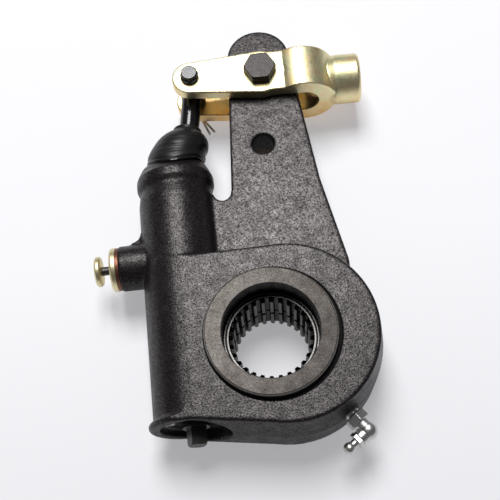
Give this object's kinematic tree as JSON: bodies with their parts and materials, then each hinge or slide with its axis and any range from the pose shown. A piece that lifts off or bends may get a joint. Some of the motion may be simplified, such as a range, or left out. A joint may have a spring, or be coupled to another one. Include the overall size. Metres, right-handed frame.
{
  "type": "automatic brake slack adjuster",
  "caption": "Automatic slack adjuster for an air drum brake: cast arm with a worm-driven splined gear, an adjuster rod under a rubber boot, a pull pawl and a forked clevis.",
  "frame": {"origin": "on the camshaft spline's axis, halfway through the housing's thickness", "axes": "+Z along the spline axis, up as the adjuster lies on its side; +Y along the worm, towards the arm's end; +X across, towards the push rod's collar"},
  "size_m": [0.1411, 0.2225, 0.0446],
  "materials": {
    "cast_paint": "rough sand-cast iron under black paint",
    "machined_steel": "turned steel, dull",
    "dark_steel": "hardened steel, oiled",
    "spring_steel": "bright spring steel",
    "cover_steel": "pressed steel, dark",
    "bronze": "sintered bronze",
    "seal_rubber": "matt black",
    "boot_rubber": "satin black",
    "black_oxide": "glossy black oxide",
    "phosphate_steel": "dark grey phosphate",
    "yellow_zinc": "yellow zinc plate with a faint rainbow",
    "brass": "machined brass",
    "copper": "dull copper",
    "bright_zinc": "bright zinc plate"
  },
  "bodies": {
    "housing": {"housing": "cast_paint", "arm_bush": "bronze", "upper_gear_bush": "bronze", "lower_gear_bush": "bronze", "upper_gear_seal": "seal_rubber", "lower_gear_seal": "seal_rubber", "worm_thrust_washer": "bronze", "worm_cover": "cover_steel", "worm_seal": "seal_rubber", "worm_retaining_ring": "spring_steel", "boot": "boot_rubber", "boot_clamp": "black_oxide", "pawl_spring": "spring_steel", "pawl_cap": "brass", "pawl_gasket": "copper", "grease_elbow": "bright_zinc", "grease_nipple": "bright_zinc", "grease_check_ball": "spring_steel"},
    "gear": {"worm_gear": "machined_steel"},
    "worm": {"worm": "dark_steel"},
    "sleeve": {"actuator_sleeve": "dark_steel", "piston_ring": "spring_steel"},
    "piston": {"piston": "dark_steel", "piston_pin": "spring_steel"},
    "clevis": {"clevis": "yellow_zinc", "clevis_bolt": "phosphate_steel", "clevis_nut": "phosphate_steel", "link_pin": "black_oxide", "cotter_pin": "spring_steel"},
    "rod": {"actuator_rod": "black_oxide"},
    "pawl": {"pawl": "dark_steel", "pawl_button": "brass"}
  },
  "joints": [
    {"name": "gear_turn", "type": "hinge", "parent": "housing", "child": "gear", "pos_m": [0, 0, 0], "axis": [0, 0, 1], "continuous": true},
    {"name": "worm_turn", "type": "hinge", "parent": "housing", "child": "worm", "pos_m": [-0.038, 0, 0], "axis": [0, 1, 0], "continuous": true},
    {"name": "sleeve_slide", "type": "slide", "parent": "worm", "child": "sleeve", "axis": [0, 1, 0], "range_m": [-0.002, 0.002]},
    {"name": "clevis_swing", "type": "hinge", "parent": "housing", "child": "clevis", "pos_m": [0.01044, 0.13931, 0], "axis": [0, 0, 1], "range_deg": [-10, 10], "deforming": ["boot"]},
    {"name": "rod_swing", "type": "hinge", "parent": "clevis", "child": "rod", "pos_m": [-0.02514, 0.14043, 0], "axis": [0, 0, 1], "range_deg": [-10, 10]},
    {"name": "piston_slide", "type": "slide", "parent": "housing", "child": "piston", "axis": [0, 1, 0], "range_m": [-0.0065, 0.0065]},
    {"name": "pawl_pull", "type": "slide", "parent": "housing", "child": "pawl", "axis": [-1, 0, 0], "range_m": [0, 0.0024], "stiffness_N_per_m": 1500, "deforming": ["pawl_spring"]}
  ],
  "couplings": [
    {"joint": "worm_turn", "follows": "gear_turn", "ratio": 26},
    {"joint": "rod_swing", "follows": "clevis_swing", "ratio": -0.97983},
    {"joint": "piston_slide", "follows": "clevis_swing", "m_per_rad": -0.03584}
  ]
}
